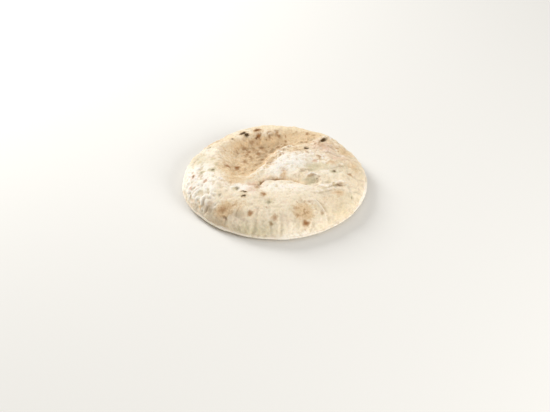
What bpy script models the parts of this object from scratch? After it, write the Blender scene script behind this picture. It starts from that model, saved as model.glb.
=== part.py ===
"""Round pita bread: a hand-rolled disc that puffed in the oven and settled again.

The loaf is one closed body. Its upper crust stands up from the seam in a rounded wall, carries a broad
roll along the front, sinks into one basin at the left and back, and keeps a dome in the middle. A crease
folds in behind the front roll and ends at the foot of a small pocket, and a few fine folds of skin cross
the right half. The base is flat, and rises to the seam.

The half section is turned with a Screw modifier, shaped by the functions below and thinned with Decimate.
Lengths in the tables are millimetres and angles are degrees, anticlockwise from +X. -Y is the front.
"""

import math

import bpy
import numpy as np
from mathutils import Vector, noise

NAME = "pita_bread"
MM = 0.001

# Driving dimensions.
RADIUS = 88.3
CROWN = 20.0
SEAM_HEIGHT = 4.0
LIP_REACH = 1.4
LIP_HALF_THICKNESS = 1.3
FLAT_BASE_SHARE = 0.74
WALL_FULLNESS = 4.2
BACK_FULLNESS_GAIN = 1.8

# Outline: waves as (count round the loaf, size, turn), local dents as (at, width, size).
RIM_WAVES = ((2, 1.9, 0), (3, 0.5, 270), (5, 0.35, 40), (9, 0.22, 10), (16, 0.14, 100), (29, 0.10, 30))
RIM_DENTS = ((143, 16, -2.2), (188, 20, 1.3), (20, 16, 0.9), (270, 36, 3.6), (244, 5, -0.5))

# Swells and hollows of the crown: (x, y, length, width, turn, height).
CROWN_SWELLS = (
    (-64, -28, 26, 42, 15, 2.6),
    (2, -50, 60, 20, 0, 2.8),
    (5, 78, 70, 18, 0, 1.6),
    (80, 0, 26, 60, 0, -1.6),
    (45, -26, 5, 9, -15, 2.2),
)
POCKET_HOLLOWS = (
    (34.4, -22, 5.4, 6.2, -25, 3.8),
    (38.6, -23.5, 2.4, 5.0, 0, 1.4),
    (30, -27.5, 3.4, 2.6, 30, 1.5),
    (41.5, -12.5, 4.2, 2.4, -30, 1.2),
    (40, 0, 9, 11, 20, 2.2),
    (62.5, -29, 5.5, 4.0, 5, 1.8),
    (51.5, -27, 6.0, 3.0, 10, 1.4),
)

# The basin: its closed edge, its depth at the left, and what it loses towards the right and the front.
BASIN_EDGE = (
    (-56, 32), (-57, 4), (-50, -17), (-39, -25), (-28, -22), (-14, -6), (-5, 10),
    (6, 26), (22, 33), (40, 38), (40, 54), (14, 65), (-14, 56), (-42, 49),
)
BASIN_DEPTH = 11.0
BASIN_RIGHT_LOSS = 5.0
BASIN_FRONT_LOSS = 3.5
BASIN_WALL = 11.5
BASIN_LEFT_WALL_GAIN = 9.0
BASIN_BACK_WALL_GAIN = 4.0
BASIN_FRONT_WALL_GAIN = 5.0

# The dome: an oval plateau as (x, y, length, width, turn), with a swell on top.
DOME_PLAN = (24, 4, 40, 28, 34)
DOME_HEIGHT = 17.0
DOME_SWELL = (14, 12, 33, 20, 30, 8.0)
DOME_EDGE_POWER = 6
DOME_BLEND = 0.6

# The crease: it runs from the left behind the front roll to the foot of the pocket.
CREASE_LINE = (
    (-27, -31), (-17, -32), (-10, -25), (-4, -22), (5, -20.5), (14, -23.5), (24, -28), (32, -33), (40, -35),
)
CREASE_DEPTH = 6.5
CREASE_ROLL_SIDE = 2.2
CREASE_DOME_SIDE = 6.5

# Slow unevenness that bends every edge drawn on the plan: (grain size, reach, octaves, seed) along X and Y.
PLAN_SWAYS = ((10, 2.6, 2, 9), (10, 2.6, 2, 10))

# Relief of the skin along its normals: (grain size, height, octaves, seed).
SKIN_GRAINS = ((26, 1.3, 3, 1), (5.5, 0.5, 2, 2))
# Fine folds of the skin: the height and the line. Each is sharp on its right and soft on its left.
SKIN_FOLDS = (
    (1.5, ((34, -44), (42, -42), (53, -36), (62, -33))),
    (1.9, ((37, -35), (45, -34.5), (52, -31.5), (58, -25), (67, -22), (74, -22))),
    (1.6, ((48, -6), (52, -4.4), (60, 0.5), (70, 6.5), (76, 8))),
    (1.8, ((49, -75), (47, -67), (43, -61.5), (37.5, -55), (33, -50))),
    (1.1, ((28, -26), (29, -20), (32, -15.5), (37, -13), (42, -15), (47, -21))),
    (1.2, ((7, 22), (14, 33), (22, 45), (30, 47), (40, 42))),
)
# How much the folds' height varies along them: (grain size, share, octaves, seed).
FOLD_GRAIN = (7, 0.9, 2, 11)
FOLD_SHARP_SIDE = 0.8
FOLD_SOFT_SIDE = 2.6

# Mesh density. The turned mesh is fine, and the finished solid has about SOLID_TRIANGLES faces.
TURN_STEPS = 300
CROWN_RINGS = 62
WALL_RINGS = 22
LIP_POINTS = 5
BASE_RINGS = 12
SOLID_TRIANGLES = 10000
CURVE_STEPS = 7

CRUST_COLOUR = (0.83, 0.69, 0.48, 1.0)
CRUST_ROUGHNESS = 0.85


def smooth(value, low, high):
    """Soft step from 0 at low to 1 at high."""
    share = np.clip((value - low) / (high - low), 0.0, 1.0)
    return share * share * (3.0 - 2.0 * share)


def outline(angle):
    """Outer radius of the loaf at each angle, which is in radians."""
    radius = np.full_like(angle, RADIUS)
    for count, size, turn in RIM_WAVES:
        radius += size * np.cos(count * angle - math.radians(turn))
    for at, width, size in RIM_DENTS:
        away = (np.degrees(angle) - at + 180.0) % 360.0 - 180.0
        radius += size * np.exp(-((away / width) ** 2))
    return radius


def oval_reach(x, y, centre_x, centre_y, length, width, turn):
    """Distance from an oval's centre, which is 1 on the oval itself."""
    cos, sin = math.cos(math.radians(turn)), math.sin(math.radians(turn))
    along = cos * (x - centre_x) + sin * (y - centre_y)
    across = cos * (y - centre_y) - sin * (x - centre_x)
    return np.hypot(along / length, across / width)


def swell(x, y, centre_x, centre_y, length, width, turn, height):
    """Height of one soft oval swell."""
    return height * np.exp(-(oval_reach(x, y, centre_x, centre_y, length, width, turn) ** 2))


def soft_curve(points, closed=False):
    """Points along a Catmull-Rom curve through the given points."""
    plan = [Vector(point) for point in points]
    if closed:
        plan = [plan[-1], *plan, plan[0], plan[1]]
    else:
        plan = [2 * plan[0] - plan[1], *plan, 2 * plan[-1] - plan[-2]]
    curve = []
    for a, b, c, d in zip(plan, plan[1:], plan[2:], plan[3:]):
        for step in range(CURVE_STEPS):
            s = step / CURVE_STEPS
            bend = (2 * a - 5 * b + 4 * c - d) * s**2 + (3 * b - a - 3 * c + d) * s**3
            curve.append((2 * b + (c - a) * s + bend) / 2)
    return [*curve, plan[-2]]


def from_curve(x, y, curve):
    """Distance from a curve, the side of it (-1 on its right) and the share of its length passed."""
    distance, side, share = np.full_like(x, np.inf), np.ones_like(x), np.zeros_like(x)
    lengths = [(end - start).length for start, end in zip(curve, curve[1:])]
    passed = 0.0
    for start, end, length in zip(curve, curve[1:], lengths):
        way = (end - start) / length
        along = np.clip((x - start.x) * way.x + (y - start.y) * way.y, 0.0, length)
        gap_x, gap_y = x - start.x - along * way.x, y - start.y - along * way.y
        gap = np.hypot(gap_x, gap_y)
        near = gap < distance
        distance[near] = gap[near]
        side[near] = np.sign(way.x * gap_y - way.y * gap_x)[near]
        share[near] = ((passed + along) / sum(lengths))[near]
        passed += length
    return distance, side, share


def inside(x, y, ring):
    """Whether each place lies inside a closed ring of points."""
    found = np.zeros(x.shape, bool)
    for start, end in zip(ring, ring[1:]):
        if start.y == end.y:
            continue
        crossing = start.x + (end.x - start.x) * (y - start.y) / (end.y - start.y)
        found ^= ((start.y > y) != (end.y > y)) & (x < crossing)
    return found


def cushion(x, y):
    """Height of the crust above the seam before it sinks, folds and rises."""
    return CROWN + sum(swell(x, y, *one) for one in CROWN_SWELLS)


def basin(x, y):
    """How far the crust has sunk."""
    ring = soft_curve(BASIN_EDGE, closed=True)
    distance = from_curve(x, y, ring)[0]
    inward = np.where(inside(x, y, ring), distance, -distance)
    wall = BASIN_WALL + BASIN_LEFT_WALL_GAIN * smooth(-x, 22, 48)
    wall = wall + BASIN_BACK_WALL_GAIN * smooth(y, 30, 55) + BASIN_FRONT_WALL_GAIN * smooth(-y, -8, 16)
    depth = BASIN_DEPTH - BASIN_RIGHT_LOSS * smooth(x, -12, 34) - BASIN_FRONT_LOSS * smooth(-y, -6, 26)
    return depth * smooth(inward, -3.0, wall)


def dome(x, y):
    """Height of the middle dome above the seam."""
    reach = oval_reach(x, y, *DOME_PLAN)
    edge = np.sqrt(np.clip(1.0 - reach**DOME_EDGE_POWER, 0.0, 1.0))
    return (DOME_HEIGHT + swell(x, y, *DOME_SWELL)) * edge


def crease(x, y):
    """Depth of the fold behind the front roll: steep on the roll's side, soft on the dome's."""
    distance, side, share = from_curve(x, y, soft_curve(CREASE_LINE))
    depth = CREASE_DEPTH * np.sin(math.pi * share) ** 0.6
    roll_side = np.exp(-((distance / CREASE_ROLL_SIDE) ** 1.5))
    dome_side = np.exp(-((distance / CREASE_DOME_SIDE) ** 1.8))
    return depth * np.where(side < 0, roll_side, dome_side)


def grain(points, size, height, octaves, seed):
    """Soft uneven relief at each point, from about -height to height."""
    offset = Vector((3.7, 1.3, 2.9)) * seed
    return np.array([height * noise.fractal(Vector(p) / size + offset, 1.0, 2.0, octaves) for p in points])


def swayed(x, y):
    """The places moved a little, so that the edges drawn on the plan run unevenly."""
    flat = np.column_stack([x, y, np.zeros_like(x)])
    along, across = (grain(flat, *one) for one in PLAN_SWAYS)
    return x + along, y + across


def crown(x, y):
    """Height of the upper crust above the seam, before the wall rounds it off."""
    plain = cushion(x, y)
    x, y = swayed(x, y)
    layers = np.stack([plain - basin(x, y), dome(x, y)]) / DOME_BLEND
    highest = layers.max(axis=0)
    body = DOME_BLEND * (highest + np.log(np.exp(layers - highest).sum(axis=0)))
    return body - crease(x, y) - sum(swell(x, y, *one) for one in POCKET_HOLLOWS)


def wall_share(share, angle):
    """Share of the crown's height that the rounded wall leaves, by the share of the radius."""
    fullness = WALL_FULLNESS + BACK_FULLNESS_GAIN * smooth(np.sin(angle), 0.1, 0.9)
    return np.sqrt(np.clip(1.0 - share**fullness, 0.0, 1.0))


def fold(x, y, height, points):
    """Height of one fine fold of the skin."""
    distance, side, share = from_curve(x, y, soft_curve(points))
    width = np.where(side < 0, FOLD_SHARP_SIDE, FOLD_SOFT_SIDE)
    return height * np.sin(math.pi * share) ** 0.7 * np.exp(-((distance / width) ** 1.6))


def skin_relief(points):
    """How far the crust stands proud of its plain form at each point."""
    x, y, z = points.T
    relief = sum(grain(points, *one) for one in SKIN_GRAINS)
    relief += sum(fold(x, y, *one) for one in SKIN_FOLDS) * (1.0 + grain(points, *FOLD_GRAIN))
    return relief * smooth(z, SEAM_HEIGHT - 1.0, SEAM_HEIGHT + 4.0)


def loaf_profile():
    """Half section of the plain loaf, from the middle of the top round the seam lip to the middle of the base."""
    foot = RADIUS - LIP_REACH
    seam_top = SEAM_HEIGHT + LIP_HALF_THICKNESS
    seam_base = SEAM_HEIGHT - LIP_HALF_THICKNESS
    across = [share / CROWN_RINGS * 0.9 for share in range(CROWN_RINGS + 1)]
    wall = [1.0 - 0.1 * (1.0 - step / WALL_RINGS) ** 2.2 for step in range(1, WALL_RINGS + 1)]
    crust = [(foot * t, seam_top + CROWN * float(wall_share(t, 0.0))) for t in across + wall]
    turns = [math.pi / 2 - math.pi * step / (LIP_POINTS + 1) for step in range(1, LIP_POINTS + 1)]
    lip = [(foot + LIP_REACH * math.cos(a), SEAM_HEIGHT + LIP_HALF_THICKNESS * math.sin(a)) for a in turns]
    rise = [1.0 - (1.0 - FLAT_BASE_SHARE) * step / BASE_RINGS for step in range(BASE_RINGS)]
    base = [(foot * t, seam_base * float(smooth(t, FLAT_BASE_SHARE, 1.0))) for t in rise]
    return [*crust, *lip, *base, (foot * FLAT_BASE_SHARE, 0.0), (foot * FLAT_BASE_SHARE / 2, 0.0), (0.0, 0.0)]


def turned_loaf(collection):
    """The half section turned round Z by a Screw modifier."""
    points = [(radius * MM, 0.0, height * MM) for radius, height in loaf_profile()]
    mesh = bpy.data.meshes.new(NAME)
    mesh.from_pydata(points, [(i, i + 1) for i in range(len(points) - 1)], [])
    loaf = bpy.data.objects.new(NAME, mesh)
    collection.objects.link(loaf)
    screw = loaf.modifiers.new("turn", "SCREW")
    screw.axis = "Z"
    screw.steps = screw.render_steps = TURN_STEPS
    screw.use_merge_vertices = True
    screw.merge_threshold = 0.00001
    screw.use_smooth_shade = True
    return loaf


def apply_modifiers(obj):
    """Gives the object the mesh that its modifiers make, and removes them."""
    bpy.context.view_layer.update()
    graph = bpy.context.evaluated_depsgraph_get()
    plain = obj.data
    made = bpy.data.meshes.new_from_object(obj.evaluated_get(graph))
    obj.modifiers.clear()
    obj.data = made
    bpy.data.meshes.remove(plain)
    made.name = NAME


def read_points(mesh, field="co"):
    """The mesh's points or normals as an array of rows."""
    values = np.empty(len(mesh.vertices) * 3, np.float32)
    mesh.vertices.foreach_get(field, values)
    return values.reshape(-1, 3).astype(float)


def write_points(mesh, points):
    """Moves the mesh's points to these rows."""
    mesh.vertices.foreach_set("co", points.astype(np.float32).ravel())
    mesh.update()


def shape_crust(mesh):
    """Gives the plain turned loaf its uneven outline and its crown."""
    x, y, z = (read_points(mesh) / MM).T
    angle = np.arctan2(y, x)
    share = np.hypot(x, y) / (RADIUS - LIP_REACH)
    spread = (outline(angle) - LIP_REACH) / (RADIUS - LIP_REACH)
    x, y = x * spread, y * spread
    seam_top = SEAM_HEIGHT + LIP_HALF_THICKNESS
    crust = seam_top + crown(x, y) * wall_share(np.minimum(share, 1.0), angle)
    z = np.where(z > seam_top - 0.001, crust, z)
    write_points(mesh, np.column_stack([x, y, z]) * MM)


def add_skin(mesh):
    """Pushes the crust in and out along its normals."""
    points = read_points(mesh)
    normals = read_points(mesh, "normal")
    write_points(mesh, points + normals * skin_relief(points / MM)[:, None] * MM)


def thin_out(loaf):
    """Collapses the fine mesh to about SOLID_TRIANGLES faces."""
    loaf.data.calc_loop_triangles()
    decimate = loaf.modifiers.new("thin_out", "DECIMATE")
    decimate.decimate_type = "COLLAPSE"
    decimate.ratio = SOLID_TRIANGLES / len(loaf.data.loop_triangles)
    decimate.use_collapse_triangulate = True
    apply_modifiers(loaf)


def set_down(mesh):
    """Levels the base on Z = 0 and centres the loaf's box over the origin."""
    points = read_points(mesh)
    points[:, 2] -= points[:, 2].min()
    points[points[:, 2] < 0.03 * MM, 2] = 0.0
    points[:, :2] -= (points[:, :2].min(axis=0) + points[:, :2].max(axis=0)) / 2
    write_points(mesh, points)


def crust_material():
    """Pale baked dough, floury and dull."""
    material = bpy.data.materials.new("crust")
    material.use_nodes = True
    shader = material.node_tree.nodes["Principled BSDF"]
    shader.inputs["Base Color"].default_value = CRUST_COLOUR
    shader.inputs["Roughness"].default_value = CRUST_ROUGHNESS
    shader.inputs["Metallic"].default_value = 0.0
    return material


def main():
    """Clears the scene and bakes the bread."""
    for old in list(bpy.data.objects):
        bpy.data.objects.remove(old, do_unlink=True)
    collection = bpy.data.collections.new(NAME)
    bpy.context.scene.collection.children.link(collection)
    loaf = turned_loaf(collection)
    apply_modifiers(loaf)
    shape_crust(loaf.data)
    add_skin(loaf.data)
    thin_out(loaf)
    set_down(loaf.data)
    loaf.data.materials.clear()
    loaf.data.materials.append(crust_material())
    loaf.data.shade_smooth()


main()
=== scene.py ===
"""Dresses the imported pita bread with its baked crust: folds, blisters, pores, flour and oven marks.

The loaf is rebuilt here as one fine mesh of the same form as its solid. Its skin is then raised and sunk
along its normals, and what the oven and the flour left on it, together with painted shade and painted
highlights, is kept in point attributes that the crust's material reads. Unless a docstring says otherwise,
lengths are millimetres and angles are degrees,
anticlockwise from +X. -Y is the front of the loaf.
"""

import logging
import math
from collections.abc import Iterator, Sequence
from dataclasses import dataclass, replace
from enum import Enum

import bpy
import numpy as np
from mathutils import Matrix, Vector, noise


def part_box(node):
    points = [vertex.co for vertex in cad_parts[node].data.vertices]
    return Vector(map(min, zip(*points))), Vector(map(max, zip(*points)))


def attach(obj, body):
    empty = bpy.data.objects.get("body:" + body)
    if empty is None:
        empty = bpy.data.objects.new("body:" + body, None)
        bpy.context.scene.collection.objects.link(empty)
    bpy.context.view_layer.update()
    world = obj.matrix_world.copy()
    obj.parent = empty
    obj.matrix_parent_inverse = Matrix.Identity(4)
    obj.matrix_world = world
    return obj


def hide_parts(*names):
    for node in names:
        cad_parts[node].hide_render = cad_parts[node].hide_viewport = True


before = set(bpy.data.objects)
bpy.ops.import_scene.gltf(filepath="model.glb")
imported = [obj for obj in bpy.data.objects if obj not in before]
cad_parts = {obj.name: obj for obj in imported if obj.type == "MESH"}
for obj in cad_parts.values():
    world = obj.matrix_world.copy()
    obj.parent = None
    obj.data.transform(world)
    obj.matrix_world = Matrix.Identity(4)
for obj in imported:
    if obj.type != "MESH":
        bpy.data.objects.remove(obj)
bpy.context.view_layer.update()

MM = 0.001
NODE = "pita_bread"
BODY = "root"
RELIEF = "relief"
LOG = logging.getLogger("pita")

# A scorch's burn is a little larger than its row says, and its toasted ring is larger and weaker.
BURN_GROWTH = 1.15
RING_GROWTH = 2.0
RING_SHARE = 0.6

Colour = tuple[float, float, float, float]
Number = float | np.ndarray
Row = tuple[float, float, float, float, float, float]
Inputs = dict[int | str, object]


def srgb(red: int, green: int, blue: int) -> Colour:
    """Turns a screen colour into the linear one that shaders use.

    Args:
        red: Red from 0 to 255.
        green: Green from 0 to 255.
        blue: Blue from 0 to 255.

    Returns:
        The linear colour with full alpha.
    """
    shares = [value / 255.0 for value in (red, green, blue)]
    linear = [s / 12.92 if s <= 0.04045 else ((s + 0.055) / 1.055) ** 2.4 for s in shares]
    return (linear[0], linear[1], linear[2], 1.0)


def soft_step(value: np.ndarray, low: float, high: Number) -> np.ndarray:
    """Eases from 0 at low to 1 at high."""
    share = np.clip((value - low) / (high - low), 0.0, 1.0)
    return share * share * (3.0 - 2.0 * share)


def rise_and_fall(share: np.ndarray, power: float) -> np.ndarray:
    """Goes from 0 at the share 0 to 1 halfway and back to 0."""
    return np.sin(math.pi * share) ** power


def degrees_from(angle: np.ndarray, at: float) -> np.ndarray:
    """Gives the signed degrees between a direction and each angle, which is in radians."""
    return (np.degrees(angle) - at + 180.0) % 360.0 - 180.0


def turned(x: Number, y: Number, turn: float) -> tuple[Number, Number]:
    """Measures places along a turned axis and across it."""
    cos, sin = math.cos(math.radians(turn)), math.sin(math.radians(turn))
    return cos * x + sin * y, cos * y - sin * x


def around(radius: np.ndarray, angle: np.ndarray, height: np.ndarray) -> np.ndarray:
    """Places points round the Z axis, as rows of X, Y and Z."""
    return np.column_stack([radius * np.cos(angle), radius * np.sin(angle), height])


def disc_place(draw: np.random.Generator) -> tuple[float, float]:
    """Draws a place on the disc of radius 1."""
    away, turn = math.sqrt(draw.random()), draw.random() * 2.0 * math.pi
    return away * math.cos(turn), away * math.sin(turn)


def stand(name: str, data: bpy.types.ID) -> bpy.types.Object:
    """Makes an object of a mesh, a lamp or a camera and puts it in the scene.

    Args:
        name: The object's name.
        data: What it shows.

    Returns:
        The new object.
    """
    made = bpy.data.objects.new(name, data)
    bpy.context.scene.collection.objects.link(made)
    return made


def aim(piece: bpy.types.Object, place: Vector, way: Vector) -> None:
    """Stands a lamp or a camera at a place and makes it look one way.

    Args:
        piece: The lamp or the camera.
        place: Where it stands, in metres.
        way: The way that it looks.
    """
    piece.location = place
    piece.rotation_mode = "QUATERNION"
    piece.rotation_quaternion = way.to_track_quat("-Z", "Y")


@dataclass(frozen=True)
class Ease:
    """An amount that eases in from nothing at low to the whole at high."""

    low: float
    high: float
    amount: float = 1.0

    def at(self, value: np.ndarray) -> np.ndarray:
        """Gives the amount at each value."""
        return self.amount * soft_step(value, self.low, self.high)


@dataclass(frozen=True)
class Oval:
    """A turned oval on the plan of the loaf."""

    x: float
    y: float
    length: float
    width: float
    turn: float = 0.0

    def reach(self, x: np.ndarray, y: np.ndarray) -> np.ndarray:
        """Gives each place's distance from the oval's middle, which is 1 on the oval itself."""
        along, across = turned(x - self.x, y - self.y, self.turn)
        return np.hypot(along / self.length, across / self.width)

    def fading(self, x: np.ndarray, y: np.ndarray) -> np.ndarray:
        """Gives a share that is 1 in the oval's middle and fades outwards."""
        return np.exp(-(self.reach(x, y) ** 2))


@dataclass(frozen=True)
class Swell:
    """A soft rise of the crust, or a hollow where it is taken away or its height is below zero."""

    oval: Oval
    height: float

    def lift(self, x: np.ndarray, y: np.ndarray) -> np.ndarray:
        """Gives the swell's height at each place."""
        return self.height * self.oval.fading(x, y)


@dataclass(frozen=True)
class SoftCurve:
    """A smooth curve on the plan through a few points."""

    points: tuple[tuple[float, float], ...]
    closed: bool = False
    steps: int = 7

    def drawn(self) -> list[Vector]:
        """Draws the curve as a Catmull-Rom spline.

        Returns:
            Its points. A closed curve ends where it starts.
        """
        plan = [Vector(point) for point in self.points]
        if self.closed:
            plan = [plan[-1], *plan, plan[0], plan[1]]
        else:
            plan = [2 * plan[0] - plan[1], *plan, 2 * plan[-1] - plan[-2]]
        curve = []
        for a, b, c, d in zip(plan, plan[1:], plan[2:], plan[3:]):
            for step in range(self.steps):
                s = step / self.steps
                bend = (2 * a - 5 * b + 4 * c - d) * s**2 + (3 * b - a - 3 * c + d) * s**3
                curve.append((2 * b + (c - a) * s + bend) / 2)
        return [*curve, plan[-2]]

    def measure(self, x: np.ndarray, y: np.ndarray) -> tuple[np.ndarray, np.ndarray, np.ndarray]:
        """Measures places against the curve.

        Args:
            x: Places along X.
            y: Places along Y.

        Returns:
            The distance, the side (-1 on the curve's right) and the share of its length passed.
        """
        curve = self.drawn()
        distance, side, share = np.full_like(x, np.inf), np.ones_like(x), np.zeros_like(x)
        lengths = [(end - start).length for start, end in zip(curve, curve[1:])]
        passed = 0.0
        for start, end, length in zip(curve, curve[1:], lengths):
            way = (end - start) / length
            along = np.clip((x - start.x) * way.x + (y - start.y) * way.y, 0.0, length)
            gap_x, gap_y = x - start.x - along * way.x, y - start.y - along * way.y
            gap = np.hypot(gap_x, gap_y)
            near = gap < distance
            distance[near] = gap[near]
            side[near] = np.sign(way.x * gap_y - way.y * gap_x)[near]
            share[near] = ((passed + along) / sum(lengths))[near]
            passed += length
        return distance, side, share

    def holds(self, x: np.ndarray, y: np.ndarray) -> np.ndarray:
        """Tells which places lie inside the closed curve.

        Args:
            x: Places along X.
            y: Places along Y.

        Returns:
            True for each place inside.
        """
        ring = self.drawn()
        found = np.zeros(x.shape, bool)
        for start, end in zip(ring, ring[1:]):
            if start.y == end.y:
                continue
            crossing = start.x + (end.x - start.x) * (y - start.y) / (end.y - start.y)
            found ^= ((start.y > y) != (end.y > y)) & (x < crossing)
        return found


@dataclass(frozen=True)
class Grain:
    """Soft uneven relief: its size across, its height, its octaves and its seed.

    Curdled relief is rounded on top, with sharp creases between its lumps. It is folded at zero, so it gets a
    gain and a drop to fill the same range.
    """

    size: float
    height: float = 1.0
    octaves: int = 2
    seed: int = 1
    curdled: bool = False
    curd_gain: float = 2.2
    curd_drop: float = 0.5
    seed_step: tuple[float, float, float] = (3.7, 1.3, 2.9)

    def values(self, points: np.ndarray) -> np.ndarray:
        """Works out the relief.

        Args:
            points: Rows of X, Y and Z.

        Returns:
            The relief at each point, from about -height to height.
        """
        offset = Vector(self.seed_step) * self.seed
        rows = (points / self.size).tolist()
        found = np.array([noise.fractal(Vector(row) + offset, 1.0, 2.0, self.octaves) for row in rows])
        if self.curdled:
            found = self.curd_gain * np.abs(found) - self.curd_drop
        return self.height * found


@dataclass(frozen=True)
class Rim:
    """The loaf's outline: a circle with slow waves and a few local dents.

    A wave is its count, its size and its turn. A dent is its direction, its width in degrees and its size.
    """

    radius: float = 88.3
    waves: tuple[tuple[int, float, float], ...] = (
        (2, 1.9, 0), (3, 0.5, 270), (5, 0.35, 40), (9, 0.22, 10), (16, 0.14, 100), (29, 0.10, 30),
    )
    dents: tuple[tuple[float, float, float], ...] = (
        (143, 16, -2.2), (188, 20, 1.3), (20, 16, 0.9), (270, 36, 3.6), (244, 5, -0.5),
    )

    def outline(self, angle: np.ndarray) -> np.ndarray:
        """Works out the outline.

        Args:
            angle: Angles in radians.

        Returns:
            The outer radius at each angle.
        """
        radius = np.full_like(angle, self.radius)
        for count, size, turn in self.waves:
            radius += size * np.cos(count * angle - math.radians(turn))
        for at, width, size in self.dents:
            radius += size * np.exp(-((degrees_from(angle, at) / width) ** 2))
        return radius


@dataclass(frozen=True)
class Basin:
    """The sunken part of the crust at the left and back.

    Its wall is longer at the left, back and front, and its floor is higher at the right and front.
    """

    edge: SoftCurve = SoftCurve(
        (
            (-56, 32), (-57, 4), (-50, -17), (-39, -25), (-28, -22), (-14, -6), (-5, 10),
            (6, 26), (22, 33), (40, 38), (40, 54), (14, 65), (-14, 56), (-42, 49),
        ),
        closed=True,
    )
    starts: float = -3.0
    wall: float = 11.5
    left_gain: Ease = Ease(22, 48, 9.0)
    back_gain: Ease = Ease(30, 55, 4.0)
    front_gain: Ease = Ease(-8, 16, 5.0)
    depth: float = 11.0
    right_loss: Ease = Ease(-12, 34, 5.0)
    front_loss: Ease = Ease(-6, 26, 3.5)

    def inward(self, x: np.ndarray, y: np.ndarray) -> np.ndarray:
        """Gives the distance inside the basin's edge, which is below zero outside it."""
        distance = self.edge.measure(x, y)[0]
        return np.where(self.edge.holds(x, y), distance, -distance)

    def sunk(self, x: np.ndarray, y: np.ndarray) -> np.ndarray:
        """Works out how far the crust has sunk.

        Args:
            x: Places along X.
            y: Places along Y.

        Returns:
            The depth at each place.
        """
        wall = self.wall + self.left_gain.at(-x) + self.back_gain.at(y) + self.front_gain.at(-y)
        depth = self.depth - self.right_loss.at(x) - self.front_loss.at(-y)
        return depth * soft_step(self.inward(x, y), self.starts, wall)


@dataclass(frozen=True)
class Dome:
    """The dome in the middle, an oval plateau with a swell on top."""

    plan: Oval = Oval(24, 4, 40, 28, 34)
    height: float = 17.0
    top: Swell = Swell(Oval(14, 12, 33, 20, 30), 8.0)
    edge_power: float = 6.0

    def raised(self, x: np.ndarray, y: np.ndarray) -> np.ndarray:
        """Gives the dome's height above the seam at each place."""
        edge = np.sqrt(np.clip(1.0 - self.plan.reach(x, y) ** self.edge_power, 0.0, 1.0))
        return (self.height + self.top.lift(x, y)) * edge


@dataclass(frozen=True)
class Crease:
    """The fold behind the front roll, steep on the roll's side and soft on the dome's.

    Each side is its width and the power of its fall.
    """

    line: SoftCurve = SoftCurve(
        (
            (-27, -31), (-17, -32), (-10, -25), (-4, -22), (5, -20.5), (14, -23.5), (24, -28),
            (32, -33), (40, -35),
        )
    )
    depth: float = 6.5
    roll_side: tuple[float, float] = (2.2, 1.5)
    dome_side: tuple[float, float] = (6.5, 1.8)
    end_fade: float = 0.6

    def sunk(self, x: np.ndarray, y: np.ndarray) -> np.ndarray:
        """Works out how deep the fold is.

        Args:
            x: Places along X.
            y: Places along Y.

        Returns:
            The depth at each place.
        """
        distance, side, share = self.line.measure(x, y)
        on_roll, on_dome = (
            np.exp(-((distance / width) ** power)) for width, power in (self.roll_side, self.dome_side)
        )
        return self.depth * rise_and_fall(share, self.end_fade) * np.where(side < 0, on_roll, on_dome)


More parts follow.
